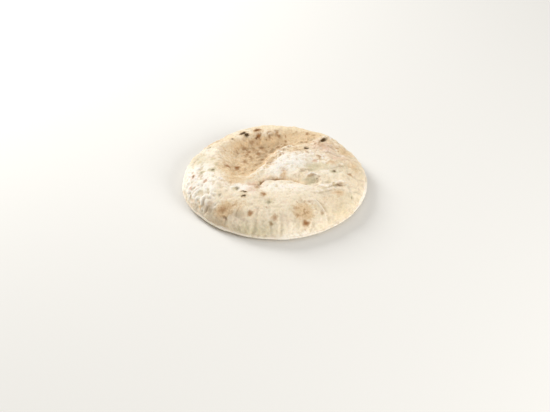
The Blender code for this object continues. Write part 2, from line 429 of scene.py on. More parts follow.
@dataclass(frozen=True)
class LoafForm:
    """The loaf's whole form: outline, rounded wall, crown, seam lip and base."""

    rim: Rim = Rim()
    basin: Basin = Basin()
    dome: Dome = Dome()
    crease: Crease = Crease()
    crown_height: float = 20.0
    swells: tuple[Swell, ...] = (
        Swell(Oval(-64, -28, 26, 42, 15), 2.6),
        Swell(Oval(2, -50, 60, 20), 2.8),
        Swell(Oval(5, 78, 70, 18), 1.6),
        Swell(Oval(80, 0, 26, 60), -1.6),
        Swell(Oval(45, -26, 5, 9, -15), 2.2),
    )
    hollows: tuple[Swell, ...] = (
        Swell(Oval(34.4, -22, 5.4, 6.2, -25), 3.8),
        Swell(Oval(38.6, -23.5, 2.4, 5.0), 1.4),
        Swell(Oval(30, -27.5, 3.4, 2.6, 30), 1.5),
        Swell(Oval(41.5, -12.5, 4.2, 2.4, -30), 1.2),
        Swell(Oval(40, 0, 9, 11, 20), 2.2),
        Swell(Oval(62.5, -29, 5.5, 4.0, 5), 1.8),
        Swell(Oval(51.5, -27, 6.0, 3.0, 10), 1.4),
    )
    sways: tuple[Grain, Grain] = (Grain(10, 2.6, 2, 9), Grain(10, 2.6, 2, 10))
    seam_height: float = 4.0
    lip_reach: float = 1.4
    lip_half: float = 1.3
    flat_base: float = 0.74
    fullness: float = 4.2
    back_gain: Ease = Ease(0.1, 0.9, 1.8)
    blend: float = 0.6

    def foot(self, angle: np.ndarray) -> np.ndarray:
        """Gives the radius at which the wall meets the seam lip."""
        return self.rim.outline(angle) - self.lip_reach

    def swayed(self, x: np.ndarray, y: np.ndarray) -> tuple[np.ndarray, np.ndarray]:
        """Moves places a little, so that the edges drawn on the plan run unevenly.

        Args:
            x: Places along X.
            y: Places along Y.

        Returns:
            The moved X and Y.
        """
        flat = np.column_stack([x, y, np.zeros_like(x)])
        along, across = (grain.values(flat) for grain in self.sways)
        return x + along, y + across

    def crown(self, x: np.ndarray, y: np.ndarray) -> np.ndarray:
        """Works out the upper crust's height above the seam, before the wall rounds it off.

        Args:
            x: Places along X.
            y: Places along Y.

        Returns:
            The height at each place, where the higher of cushion and dome blends into the other.
        """
        cushion = self.crown_height + sum(swell.lift(x, y) for swell in self.swells)
        x, y = self.swayed(x, y)
        layers = np.stack([cushion - self.basin.sunk(x, y), self.dome.raised(x, y)]) / self.blend
        highest = layers.max(axis=0)
        body = self.blend * (highest + np.log(np.exp(layers - highest).sum(axis=0)))
        return body - self.crease.sunk(x, y) - sum(hollow.lift(x, y) for hollow in self.hollows)

    def wall_share(self, share: np.ndarray, angle: np.ndarray) -> np.ndarray:
        """Gives the share of the crown's height left at a share of the radius."""
        fullness = self.fullness + self.back_gain.at(np.sin(angle))
        return np.sqrt(np.clip(1.0 - share**fullness, 0.0, 1.0))

    def crust_ring(self, share: float, angle: np.ndarray) -> np.ndarray:
        """Places one ring of the upper crust.

        Args:
            share: The ring's share of the wall's radius.
            angle: Angles in radians.

        Returns:
            Rows of X, Y and Z.
        """
        radius = share * self.foot(angle)
        x, y = radius * np.cos(angle), radius * np.sin(angle)
        rise = self.crown(x, y) * self.wall_share(np.full_like(angle, share), angle)
        return np.column_stack([x, y, self.seam_height + self.lip_half + rise])

    def lip_ring(self, turn: float, angle: np.ndarray) -> np.ndarray:
        """Places one ring of the seam lip.

        Args:
            turn: The ring's turn in radians from the lip's tip.
            angle: Angles in radians.

        Returns:
            Rows of X, Y and Z.
        """
        radius = self.foot(angle) + self.lip_reach * math.cos(turn)
        height = np.full_like(angle, self.seam_height + self.lip_half * math.sin(turn))
        return around(radius, angle, height)

    def base_ring(self, share: float, angle: np.ndarray) -> np.ndarray:
        """Places one ring of the underside, like one of the crust."""
        rise = Ease(self.flat_base, 1.0, self.seam_height - self.lip_half)
        return around(share * self.foot(angle), angle, rise.at(np.full_like(angle, share)))


@dataclass(frozen=True)
class Unrolling:
    """Lays the crust out flat, so that a mark on the wall keeps its shape."""

    form: LoafForm
    nominal_crown: float = 22.0
    samples: int = 400

    def plan(self, x: np.ndarray, y: np.ndarray) -> tuple[np.ndarray, np.ndarray]:
        """Moves places outwards by what the wall adds to the way from the middle.

        Args:
            x: Places along X.
            y: Places along Y.

        Returns:
            The unrolled X and Y.
        """
        angle = np.arctan2(y, x)
        radius = np.hypot(x, y)
        share = np.minimum(radius / self.form.foot(angle), 1.0)
        steps = np.linspace(0.0, 1.0, self.samples)
        fall = self.nominal_crown * np.sqrt(1.0 - steps**self.form.fullness)
        way = np.hypot(np.diff(steps) * self.form.rim.radius, np.diff(fall))
        gain = np.concatenate([[0.0], np.cumsum(way)]) - steps * self.form.rim.radius
        longer = radius + np.interp(share, steps, gain)
        return longer * np.cos(angle), longer * np.sin(angle)


class Tone(Enum):
    """What the oven, the flour and the dough left on the crust, and the painted shade, each kept in an
    attribute of its name.
    """

    WARM = "warm"
    # Painted shade: it darkens creases, the lees of folds, the pocket, the dome's foot and parts of the
    # walls.
    PAINTED_SHADE = "painted_shade"
    FLOUR = "flour"
    # A greyish tone of damp dough, also laid as painted shade in hollows, in the pocket and on the front
    # wall.
    DAMP_AND_SHADE = "damp_and_shade"
    BLUSH = "blush"
    TOAST = "toast"
    BROWN = "brown"
    CHAR = "char"


@dataclass(frozen=True)
class Mark:
    """One mark of a tone on the crust, whole inside its core and gone at its edge, and how high it lifts."""

    tone: Tone
    place: Oval
    strength: float
    core: float
    edge: float = 1.15
    lift: float = 0.0


@dataclass(frozen=True)
class Scatter:
    """Marks of one tone strewn over an oval by a seeded draw."""

    tone: Tone
    region: Oval
    count: int
    sizes: tuple[float, float]
    strengths: tuple[float, float]
    seed: int
    lift: float = 0.0
    core: float = 0.2
    longest: float = 1.6

    def marks(self) -> Iterator[Mark]:
        """Draws the marks, most of them small.

        Yields:
            One mark after the other.
        """
        draw = np.random.default_rng(self.seed)
        low, high = self.sizes
        for _ in range(self.count):
            east, north = disc_place(draw)
            x, y = turned(east * self.region.length, north * self.region.width, -self.region.turn)
            size = low + (high - low) * draw.random() ** 2
            length, turn = size * draw.uniform(1.0, self.longest), draw.uniform(0.0, 180.0)
            place = Oval(self.region.x + x, self.region.y + y, length, size, turn)
            yield Mark(self.tone, place, draw.uniform(*self.strengths), self.core, lift=self.lift)


def patches(tone: Tone, *rows: Row) -> tuple[Mark, ...]:
    """Makes broad marks that fade all the way out. A row is x, y, length, width, turn and strength."""
    return tuple(Mark(tone, Oval(*row[:5]), row[5], core=0.0, edge=1.5) for row in rows)


def spots(tone: Tone, *rows: Row, lift: float = 0.0) -> tuple[Mark, ...]:
    """Makes small marks with a soft edge, from rows like those of patches."""
    return tuple(Mark(tone, Oval(*row[:5]), row[5], core=0.05, edge=1.35, lift=lift) for row in rows)


def scorches(tone: Tone, *rows: Row, lift: float = 0.2) -> tuple[Mark, ...]:
    """Makes small burns, each with a toasted ring round it.

    Args:
        tone: The burns' own tone.
        rows: Each burn's x, y, length, width, turn and strength.
        lift: How far the burns stand above the crust.

    Returns:
        Two marks for each row.
    """
    made = []
    for x, y, length, width, turn, strength in rows:
        ring = Oval(x, y, RING_GROWTH * length, RING_GROWTH * width, turn)
        made.append(Mark(Tone.TOAST, ring, RING_SHARE * strength, core=0.2, edge=1.2))
        made += spots(tone, (x, y, BURN_GROWTH * length, BURN_GROWTH * width, turn, strength), lift=lift)
    return tuple(made)


@dataclass(frozen=True)
class Stain:
    """A mark of a tone along a curve on the plan, strongest halfway."""

    tone: Tone
    line: SoftCurve
    width: float
    strength: float
    end_fade: float = 0.5

    def share(self, x: np.ndarray, y: np.ndarray) -> np.ndarray:
        """Gives the stain's share at each place."""
        distance, _, passed = self.line.measure(x, y)
        return self.strength * rise_and_fall(passed, self.end_fade) * np.exp(-((distance / self.width) ** 2))


@dataclass(frozen=True)
class BasinTan:
    """The tan that the oven left in the basin. It starts near the dome's foot and fades over the walls."""

    strength: float = 0.78
    pale: Oval = Oval(-49, 22, 13, 22)
    paleness: float = 0.45
    outer: Ease = Ease(-7.0, 8.0)
    at_dome: Ease = Ease(2.5, 8.5)
    dome_reach: Ease = Ease(1.15, 1.7)

    def share(self, form: LoafForm, x: np.ndarray, y: np.ndarray) -> np.ndarray:
        """Works out the tan.

        Args:
            form: The loaf's form.
            x: Places along X.
            y: Places along Y.

        Returns:
            The share at each place.
        """
        x, y = form.swayed(x, y)
        inward = form.basin.inward(x, y)
        away = self.dome_reach.at(form.dome.plan.reach(x, y))
        near = self.at_dome.at(inward)
        tan = self.strength * (near + (self.outer.at(inward) - near) * away)
        return tan * (1.0 - self.paleness * self.pale.fading(x, y))


@dataclass(frozen=True)
class OvenMarksAndPaintedShade:
    """Every mark on the upper crust, part by part, and on the base, painted shade among them."""

    basin: tuple[Mark, ...] = (
        # Painted shade in the basin beside the dome and at its near edge.
        *patches(
            Tone.PAINTED_SHADE, (-12, 28, 16, 5, 55, 0.5), (-38, -23, 14, 6, -5, 0.3), (-16, 19, 14, 10, 55, 0.35),
        ),
        *patches(
            Tone.TOAST, (-8, 44, 20, 12, 30, 0.85), (-30, 0, 14, 9, 40, 0.85), (-38, -24, 15, 8, -5, 0.85),
            (12, 56, 38, 10, -4, 0.6), (36, 55, 16, 9, -20, 0.95), (30, 36, 20, 10, 25, 0.4),
        ),
        *scorches(
            Tone.BROWN, (-17.3, 52.6, 3.2, 6, -28, 1.1), (38.5, 54.5, 2.6, 2.4, 0, 0.8),
            (31, 46, 2.4, 2.4, 0, 0.75), (-46.5, 4.5, 3.6, 4.4, 0, 0.95), (-37.6, 9, 3.6, 5.4, 0, 1.0),
            (-30.5, 19.5, 4.4, 3, 5, 0.8), (-37.6, 34, 2.8, 2.2, 10, 0.8), (-30, 22.7, 3.6, 2.2, 5, 0.55),
            (-16.5, 32, 4.2, 4.6, 20, 0.85), (-13, 42, 3.6, 3.8, 0, 0.85), (-3, 42, 2, 2.4, 0, 0.85),
            (-26, 35, 3.2, 3.4, 0, 0.85), (-31, 41.2, 3.4, 3.2, 0, 0.8), (-23, 47, 4, 3.6, 0, 0.75),
            (-21, 38, 3, 4, 40, 0.7), (-30, 29, 2.6, 4, 30, 0.65), (-24, 26, 2.6, 4.2, 30, 0.75),
            (-9, 37, 2.4, 3.4, 30, 0.7),
        ),
        *spots(Tone.CHAR, (-18, 51.5, 2.4, 3.4, -25, 0.8)),
    )
    middle: tuple[Mark, ...] = (
        *patches(Tone.BLUSH, (-20, -32, 12, 8, 10, 0.65), (-4, -20, 12, 4, 10, 0.7)),
        # These greyish patches paint shade into the hollow at (38, -2) and into the pocket.
        *patches(Tone.DAMP_AND_SHADE, (38, -2, 13, 10, 0, 0.85), (34, -22.5, 8, 8.5, -20, 0.85)),
        *patches(
            Tone.FLOUR, (14, 2, 30, 18, 30, 1.0), (0, -12, 16, 8, 30, 0.7), (-34, -36, 24, 12, -20, 0.7),
            (9, -4, 7, 6, 0, 0.8),
        ),
        # Painted shade at the dome's foot and just above the crease; the thin toast patch at (1, -16.5) also
        # paints shade above the crease.
        *patches(Tone.PAINTED_SHADE, (-4, 8, 11, 5, 58, 0.4), (0, -17, 12, 3, 5, 0.5)),
        *patches(
            Tone.TOAST, (20, 22, 17, 11, 30, 0.75), (-3, 8, 13, 7, 58, 0.7), (1, -16.5, 13, 3, 5, 0.5),
            (-38, -29, 14, 6, 0, 0.75),
        ),
        *scorches(Tone.BLUSH, (9, -13.6, 3.6, 2.6, 20, 1.0)),
        *scorches(
            Tone.BROWN, (20.5, 26, 2.2, 2.6, 0, 0.6), (31.5, 19, 2, 3, 30, 0.6),
            (25, -9, 2.6, 2.4, 20, 0.5), (-14.5, -31, 2.2, 2.6, 30, 0.7), (8.4, -8.8, 2.6, 2.2, 30, 0.45),
            (22, 19.5, 3.6, 2.4, 30, 0.6),
        ),
        *scorches(Tone.CHAR, (31, 27.5, 3.6, 3.6, 10, 1.0)),
        *spots(Tone.BROWN, (9.5, -13.6, 1.8, 1.5, 20, 0.5)),
        *spots(Tone.CHAR, (39.6, -21, 1.8, 2.4, 0, 0.6)),
    )
    right_side: tuple[Mark, ...] = (
        *patches(Tone.BLUSH, (48, 34, 20, 19, 20, 0.7), (62, 16, 22, 12, 10, 0.6)),
        *patches(
            # These greyish patches are partly painted shade in the crust's hollows.
            Tone.DAMP_AND_SHADE, (66, -50, 18, 20, 0, 0.45), (60, 4, 20, 16, 10, 0.5), (49, -14, 10, 7, 10, 0.45),
            (49, 0, 10, 8, 20, 0.6),
        ),
        *patches(Tone.FLOUR, (88, -30, 10, 44, -10, 0.8), (48, -10, 14, 12, 0, 0.5)),
        *patches(
            Tone.TOAST, (52, 44, 20, 14, -20, 0.45), (78, 6, 10, 15, 10, 0.65), (68, 30, 14, 10, -35, 0.95),
            (50, -50, 15, 9, 20, 0.35),
        ),
        *patches(Tone.WARM, (62, -54, 24, 22, 0, 0.35), (80, -4, 14, 36, 0, 0.4)),
        *scorches(Tone.BLUSH, (56, 4.5, 4.4, 3.6, 5, 0.85), (60, -40, 5, 3.4, 10, 1.2)),
        *scorches(
            Tone.BROWN, (44, 38, 1.8, 8, 0, 0.6), (62, 33, 2.4, 2.6, 0, 0.6), (62, -28, 4.2, 3.8, 5, 0.75),
            (73, -9, 3, 2.4, -30, 0.75), (43.5, 13.6, 3.4, 2.6, -20, 0.75), (44.5, 33, 2.4, 6, 0, 0.45),
        ),
        *scorches(Tone.CHAR, (48.5, 44, 7.6, 3, 58, 1.1)),
        *spots(Tone.BROWN, (60, -40, 5, 2.6, 10, 0.42)),
        *spots(
            Tone.CHAR, (61.5, -27.6, 5, 4.6, 5, 0.7), (57.5, -8.2, 4, 3.4, 5, 0.78),
            (73, -39.5, 2.2, 3.2, 0, 0.56),
        ),
        *spots(
            Tone.DAMP_AND_SHADE, (56, -28, 6, 5, 0, 0.8), (56.5, -9, 6.4, 4.4, 5, 0.9), (73, -39.5, 2.8, 3.6, 0, 1.0),
        ),
    )
    back_rim: tuple[Mark, ...] = (
        *patches(Tone.DAMP_AND_SHADE, (-76, 20, 14, 30, 15, 0.65)),
        *patches(
            Tone.FLOUR, (-72, 30, 16, 30, 25, 0.6), (-50, 66, 26, 12, 35, 0.7), (-92, 8, 14, 44, 0, 1.1),
            (-62, 74, 36, 13, 42, 1.0),
        ),
        # The painted-shade patches, and the toast patches at the same places, darken the back wall that faces
        # the key lamp: painted shade over a toasted tone.
        *patches(
            Tone.PAINTED_SHADE, (-19, 88, 50, 8, 12, 0.45), (-63, 60, 38, 11, 46, 0.5), (-57.5, 57, 38, 10, 46, 0.45),
            (42, 78, 36, 7, -29, 0.35),
        ),
        *patches(
            Tone.TOAST, (-19, 87, 50, 10, 12, 0.85), (-62, 60, 40, 13, 46, 0.85),
            (-57.5, 57, 40, 10, 46, 0.6), (42, 77, 36, 9, -29, 0.75),
        ),
        *patches(Tone.WARM, (30, 68, 60, 14, -10, 0.7), (-50, 52, 20, 14, 30, 0.3)),
        *scorches(
            Tone.BROWN, (-18, 62.5, 4.8, 5, 5, 1.1), (33, 57.5, 2.8, 2.8, 0, 0.85),
            (1.5, 61, 3.2, 3.4, 30, 0.7),
        ),
        *scorches(
            Tone.CHAR, (-32.6, 58, 4, 5, -20, 1.2), (-29.2, 54.5, 3.4, 4.8, -10, 1.2),
            (-43, 49, 2, 2, 0, 0.7),
        ),
        *spots(Tone.CHAR, (-18.5, 62.5, 3.6, 3.2, 5, 0.75), (-65.8, 36.5, 4.2, 2.8, 35, 0.85)),
        *spots(Tone.DAMP_AND_SHADE, (-65.8, 36.5, 7, 5, 35, 0.8), (-74, 10, 5, 4, 30, 1.1)),
        *spots(Tone.FLOUR, (51, 50.5, 7, 2.6, 30, 1.0), lift=0.5),
    )
    left_rim: tuple[Mark, ...] = (
        *patches(Tone.DAMP_AND_SHADE, (-70, 0, 12, 16, 0, 0.35)),
        *patches(Tone.FLOUR, (-74, -20, 20, 38, 12, 1.3)),
        *patches(Tone.TOAST, (-76, -44, 8, 12, 35, 0.45)),
        *spots(
            Tone.BLUSH, (-67, -25, 4, 3.4, 0, 0.9), (-81, -26, 4, 3.4, 0, 0.9), (-79, -13, 4.4, 4, 30, 0.9),
        ),
        *spots(
            Tone.CHAR, (-60.4, -8.5, 3, 3.4, 0, 0.8), (-52, -46.5, 3, 3.4, 0, 0.64),
            (-79, -13, 2.4, 2.4, 30, 0.75),
        ),
        *spots(
            Tone.DAMP_AND_SHADE, (-60.4, -8.5, 6, 6, 0, 0.9), (-70, -10, 4, 3.4, 0, 1.0), (-57.5, 2, 3.4, 5, 0, 1.0),
            (-61, 12, 4, 4, 0, 0.9),
        ),
        # A small spot of painted shade.
        *spots(Tone.PAINTED_SHADE, (-72.8, -4.6, 2.6, 3, 0, 0.6)),
        *spots(Tone.TOAST, (-71.5, -50, 2.6, 5, 20, 0.9)),
    )
    front_roll: tuple[Mark, ...] = (
        *patches(Tone.BLUSH, (-22, -42, 8, 6, 0, 0.7)),
        # The greyish patch on the front wall, the painted-shade patches and the weak toast patch at (-54,
        # -70) paint shade on the front wall.
        *patches(Tone.DAMP_AND_SHADE, (-20, -84, 40, 12, -5, 0.7)),
        *patches(
            Tone.FLOUR, (5, -38, 42, 12, 0, 0.6), (20, -92, 46, 16, 10, 0.7), (-57, -57, 7, 4, 30, 0.6),
            (-52, -75, 26, 5, -32, 0.7),
        ),
        *patches(
            Tone.PAINTED_SHADE, (-62, -57, 10, 9, -45, 0.7), (0, -76, 30, 9, 0, 0.28), (-54, -69, 26, 8, -28, 0.5),
            (-35, -70, 16, 8, -15, 0.55),
        ),
        *patches(
            Tone.TOAST, (-47.5, -63.5, 12, 9, 20, 1.3), (-35, -61, 14, 8, 5, 0.6),
            (27, -69, 12, 12, -10, 1.1), (-54, -70, 26, 9, -28, 0.4),
        ),
        *scorches(Tone.BROWN, (28.5, -78.5, 4, 4, 0, 1.0), lift=0.35),
        *scorches(
            Tone.BROWN, (-11, -49.5, 3.4, 3.6, 10, 0.9), (-22.7, -70.4, 3.4, 3.4, 0, 0.85),
            (0, -76.6, 3.2, 3.8, 0, 0.75), (-16.5, -38, 3.4, 3, 30, 0.75), (-62, -53, 2.6, 3.6, 20, 0.4),
            (43.8, -66.6, 2.2, 2.8, 30, 0.6), (19, -66.8, 4.6, 2.4, 10, 0.55), (33, -57, 4, 2.2, 10, 0.5),
            (-8, -65.4, 6, 1.6, 5, 0.35),
        ),
        *scorches(Tone.CHAR, (-29.3, -51, 3.6, 2.2, 5, 0.9), (-29.5, -45.8, 3.4, 2, 5, 0.95)),
        *spots(Tone.BLUSH, (-46.5, -70.5, 3.6, 4.6, 0, 0.8)),
        *spots(Tone.BROWN, (-49, -63, 8, 5.5, 15, 0.7), (-3.6, -81.5, 2.8, 3, 0, 0.7)),
        *spots(
            Tone.CHAR, (-46.5, -70.5, 3.2, 4.2, 0, 0.66), (-5.4, -59.7, 3.8, 4.4, 0, 0.64),
            (-36, -39.6, 4.6, 4.2, 30, 0.74),
        ),
        *spots(
            Tone.DAMP_AND_SHADE, (-5.4, -59, 5, 6, 0, 0.8), (-3.6, -81.5, 5, 5.4, 0, 0.9),
            (-38, -40.5, 6, 5, 30, 0.8),
        ),
        # Painted shade beside the wrinkles at the left front.
        *spots(Tone.PAINTED_SHADE, (-60.5, -52.5, 4, 3.4, 30, 0.45)),
    )
    strewn: tuple[Scatter, ...] = (
        Scatter(Tone.BROWN, Oval(-22, 30, 32, 26, 30), 80, (1.3, 3.2), (0.28, 0.65), 11, 0.12),
        Scatter(Tone.BROWN, Oval(-10, 46, 28, 14, 20), 40, (1.4, 3.8), (0.35, 0.8), 19, 0.1),
        Scatter(Tone.FLOUR, Oval(-30, 22, 34, 34, 0), 40, (2.0, 5.0), (0.2, 0.5), 20),
        Scatter(Tone.BROWN, Oval(0, 0, 92, 92), 70, (0.8, 1.8), (0.2, 0.5), 12, 0.1),
        Scatter(Tone.BROWN, Oval(16, 12, 28, 18, 30), 50, (0.9, 1.8), (0.2, 0.45), 25, 0.1),
        Scatter(Tone.BROWN, Oval(16, 24, 16, 8, 30), 26, (1.0, 2.2), (0.3, 0.6), 29, 0.1),
        Scatter(Tone.TOAST, Oval(0, 0, 98, 98), 120, (1.6, 4.5), (0.15, 0.45), 13),
        Scatter(Tone.BLUSH, Oval(54, 22, 32, 26, 20), 30, (1.5, 3.5), (0.4, 0.8), 14),
        Scatter(Tone.BROWN, Oval(52, 34, 24, 20, 0), 36, (1.0, 2.8), (0.25, 0.6), 26, 0.1),
        Scatter(Tone.FLOUR, Oval(54, 28, 28, 24, 0), 30, (1.4, 4.0), (0.4, 0.9), 27, 0.15),
        Scatter(Tone.FLOUR, Oval(0, 0, 100, 100), 120, (2.0, 6.0), (0.1, 0.4), 15),
        Scatter(Tone.BROWN, Oval(27, -68, 12, 15, -10), 30, (1.0, 2.4), (0.3, 0.65), 16),
        Scatter(Tone.BROWN, Oval(-46, -63, 12, 7, 20), 22, (0.9, 2.2), (0.3, 0.6), 17),
        Scatter(Tone.BROWN, Oval(-2, 32, 18, 6, 56), 22, (1.2, 3.0), (0.4, 0.85), 30),
        Scatter(Tone.DAMP_AND_SHADE, Oval(0, 0, 98, 98), 60, (3.0, 8.0), (0.2, 0.5), 18),
        Scatter(Tone.TOAST, Oval(-9, 2, 30, 7, 58), 50, (1.0, 2.6), (0.35, 0.8), 28),
        Scatter(Tone.BROWN, Oval(1, 14, 24, 7, 58), 60, (0.9, 2.4), (0.3, 0.7), 55, 0.1),
        Scatter(Tone.FLOUR, Oval(-3, 9, 22, 5, 58), 40, (1.2, 3.0), (0.5, 1.0), 56),
    )
    # The brown, blush and toast stains and the painted-shade stain along the crease darken it where it falls
    # into shade: painted shade over the crease's own reddish brown. The painted-shade stain in the basin
    # along the dome's side and the one at the pocket's right edge are painted shade.
    stains: tuple[Stain, ...] = (
        Stain(Tone.BROWN, SoftCurve(((-15, -28), (-11, -24), (-7, -21))), 1.4, 0.85),
        Stain(Tone.BROWN, SoftCurve(((-8, -21.5), (-2, -19), (4, -18), (11, -18))), 1.5, 0.95),
        Stain(Tone.BLUSH, SoftCurve(((13, -20), (20, -24), (28, -30), (36, -33))), 2.2, 0.45),
        Stain(
            Tone.PAINTED_SHADE, SoftCurve(((-19, 13), (-15, 19.5), (-10, 26), (-7, 31), (-4, 36.5), (0, 41), (5, 45))),
            2.8, 0.5,
        ),
        Stain(Tone.TOAST, SoftCurve(((-20, -28), (-8, -23), (4, -18), (16, -22), (26, -28))), 2.2, 0.7),
        Stain(Tone.PAINTED_SHADE, SoftCurve(((35, -31), (39.5, -27), (40.5, -22), (39, -17))), 1.2, 0.75),
        Stain(Tone.PAINTED_SHADE, SoftCurve(((-15, -27.5), (-9, -23.5), (-3, -21), (3, -20))), 2.0, 0.55),
    )
    basin_tan: BasinTan = BasinTan()
    base: tuple[Mark, ...] = (
        *patches(Tone.TOAST, (-10, 8, 62, 56, 20, 0.55)),
        *patches(Tone.FLOUR, (40, -40, 40, 26, 40, 0.7), (-50, 38, 34, 22, 30, 0.6)),
    )
    base_strewn: tuple[Scatter, ...] = (
        Scatter(Tone.BROWN, Oval(0, 0, 76, 76), 60, (1.2, 5.0), (0.3, 0.85), 21, 0.0, 0.1),
        Scatter(Tone.TOAST, Oval(0, 0, 80, 80), 80, (3.0, 8.0), (0.25, 0.6), 22),
        Scatter(Tone.CHAR, Oval(5, -5, 60, 60), 9, (0.8, 2.2), (0.3, 0.7), 23),
        Scatter(Tone.FLOUR, Oval(0, 0, 82, 82), 60, (2.0, 7.0), (0.3, 0.8), 24),
    )

    def on_crust(self, unrolling: Unrolling) -> list[Mark]:
        """Gathers all marks of the upper crust.

        Args:
            unrolling: What lays the crust out flat.

        Returns:
            The marks at their unrolled places.
        """
        parts = (self.basin, self.middle, self.right_side, self.back_rim, self.left_rim, self.front_roll)
        marks = [mark for part in (*parts, *(group.marks() for group in self.strewn)) for mark in part]
        flat_x, flat_y = unrolling.plan(*np.array([(mark.place.x, mark.place.y) for mark in marks]).T)
        places = (replace(mark.place, x=x, y=y) for mark, x, y in zip(marks, flat_x, flat_y))
        return [replace(mark, place=place) for mark, place in zip(marks, places)]

    def on_base(self) -> list[Mark]:
        """Gathers all marks of the underside."""
        return [*self.base, *(mark for group in self.base_strewn for mark in group.marks())]


@dataclass(frozen=True)
class Fold:
    """A fine raised fold of the skin along a curve: sharp on its right side, soft on its left.

    Its crest gets a painted highlight, laid as flour, and the lee on its sharp side gets painted shade. The
    widths of these two are given like those of the two sides.
    """

    line: SoftCurve
    height: float
    sharp: float = 0.7
    soft: float = 2.6
    floury_highlight: float = 1.0
    crest_highlight: float = 1.1
    painted_shade: float = 1.8
    shade: float = 0.75
    end_fade: float = 0.7
    fall: float = 1.6

    def lift(self, x: np.ndarray, y: np.ndarray) -> np.ndarray:
        """Works out the fold's relief.

        Args:
            x: Places along X.
            y: Places along Y.

        Returns:
            The height at each place.
        """
        distance, side, share = self.line.measure(x, y)
        width = np.where(side < 0, self.sharp, self.soft)
        return self.height * rise_and_fall(share, self.end_fade) * np.exp(-((distance / width) ** self.fall))

    def tones(self, x: np.ndarray, y: np.ndarray) -> tuple[np.ndarray, np.ndarray]:
        """Works out the painted highlight and the painted shade that the fold lays on the crust's colour.

        Args:
            x: Places along X.
            y: Places along Y.

        Returns:
            The painted highlight, laid as flour, and the painted shade at each place.
        """
        distance, side, share = self.line.measure(x, y)
        along = rise_and_fall(share, self.end_fade)
        crest_highlight = self.floury_highlight * along * np.exp(-((distance / self.crest_highlight) ** 2))
        painted_shade = along * np.exp(-(((distance + side * self.painted_shade) / self.painted_shade) ** 2)) * (side < 0)
        return crest_highlight, self.shade * painted_shade


@dataclass(frozen=True)
class Folds:
    """The fine folds of the skin, uneven along their length, and how far that may strengthen their tones."""

    lines: tuple[Fold, ...] = (
        Fold(SoftCurve(((34, -44), (42, -42), (53, -36), (62, -33))), 1.5, floury_highlight=0.7, shade=0.5),
        Fold(
            SoftCurve(((37, -35), (45, -34.5), (52, -31.5), (58, -25), (67, -22), (74, -22))), 1.9, shade=0.4,
        ),
        Fold(SoftCurve(((48, -6), (52, -4.4), (60, 0.5), (70, 6.5), (76, 8))), 1.6, shade=0.5),
        Fold(
            SoftCurve(((49, -75), (47, -67), (43, -61.5), (37.5, -55), (33, -50))), 2.0, 1.5, 3.2, 0.35, 1.7,
            2.6, 0.5,
        ),
        Fold(
            SoftCurve(((28, -26), (29, -20), (32, -15.5), (37, -13), (42, -15), (47, -21))), 1.1, 0.8, 2.2,
            0.6,
        ),
        Fold(SoftCurve(((20, -21), (22, -14), (27, -8), (34, -5), (40, -6))), 1.0, 0.8, 2.2, 0.5, shade=0.45),
        Fold(SoftCurve(((7, 22), (14, 33), (22, 45), (30, 47), (40, 42))), 1.2, shade=0.5),
        Fold(SoftCurve(((44, 22), (54, 24), (66, 20), (74, 14))), 1.1, shade=0.5),
        Fold(SoftCurve(((45, 34), (53, 37), (61, 30), (67, 22))), 1.0, shade=0.5),
        Fold(SoftCurve(((-12, 52.5), (-7, 55.5), (0, 59), (8, 59))), 0.9),
        Fold(SoftCurve(((-66, -57), (-69.5, -51), (-68.5, -46), (-64, -42))), 0.8, 1.0, shade=0.5),
        Fold(SoftCurve(((-61, -58), (-64.5, -51), (-62, -45.5), (-55, -42))), 0.8, 1.0, shade=0.5),
        Fold(SoftCurve(((-66, -10), (-58, -20), (-48, -27), (-38, -30))), 0.7, shade=0.3),
    )
    grain: Grain = Grain(7, 0.9, 2, 11)
    strongest: float = 1.5

    def lift(self, points: np.ndarray) -> np.ndarray:
        """Gives the height of all folds at each point."""
        x, y, _ = points.T
        return sum(fold.lift(x, y) for fold in self.lines) * (1.0 + self.grain.values(points))

    def tones(
        self, points: np.ndarray, sway_x: np.ndarray, sway_y: np.ndarray
    ) -> tuple[np.ndarray, np.ndarray]:
        """Works out what the folds do to the crust's colour.

        Args:
            points: The plain loaf's points.
            sway_x: How far each point's tone is moved along X.
            sway_y: How far it is moved along Y.

        Returns:
            The painted highlight, laid as flour, and the painted shade at each point.
        """
        x, y, _ = points.T
        crest_highlights, painted_shades = zip(*(fold.tones(x + sway_x, y + sway_y) for fold in self.lines))
        share = np.clip(1.0 + self.grain.values(points), 0.0, self.strongest)
        return share * np.max(crest_highlights, axis=0), share * np.max(painted_shades, axis=0)


@dataclass(frozen=True)
class WallWrinkles:
    """Uneven wrinkles that run down the wall round one direction."""

    at: float
    half_width: float
    across: float
    along: float
    height: float
    seed: int
    inner: Ease = Ease(0.70, 0.88)
    outer: Ease = Ease(0.95, 1.0)
    curdled: bool = True
    nominal_radius: float = 90.0

    def lift(self, x: np.ndarray, y: np.ndarray, share: np.ndarray) -> np.ndarray:
        """Works out the wrinkles' relief.

        Args:
            x: Unrolled places along X.
            y: Unrolled places along Y.
            share: Shares of the outline's radius.

        Returns:
            The height at each place.
        """
        away = degrees_from(np.arctan2(y, x), self.at)
        round_it = np.radians(away) * self.nominal_radius
        place = np.column_stack([round_it / self.across, np.hypot(x, y) / self.along, np.zeros_like(x)])
        relief = Grain(1.0, 1.0, 2, self.seed, self.curdled).values(place)
        in_wall = self.inner.at(share) * (1.0 - self.outer.at(share))
        return self.height * relief * in_wall * np.exp(-((away / self.half_width) ** 2))


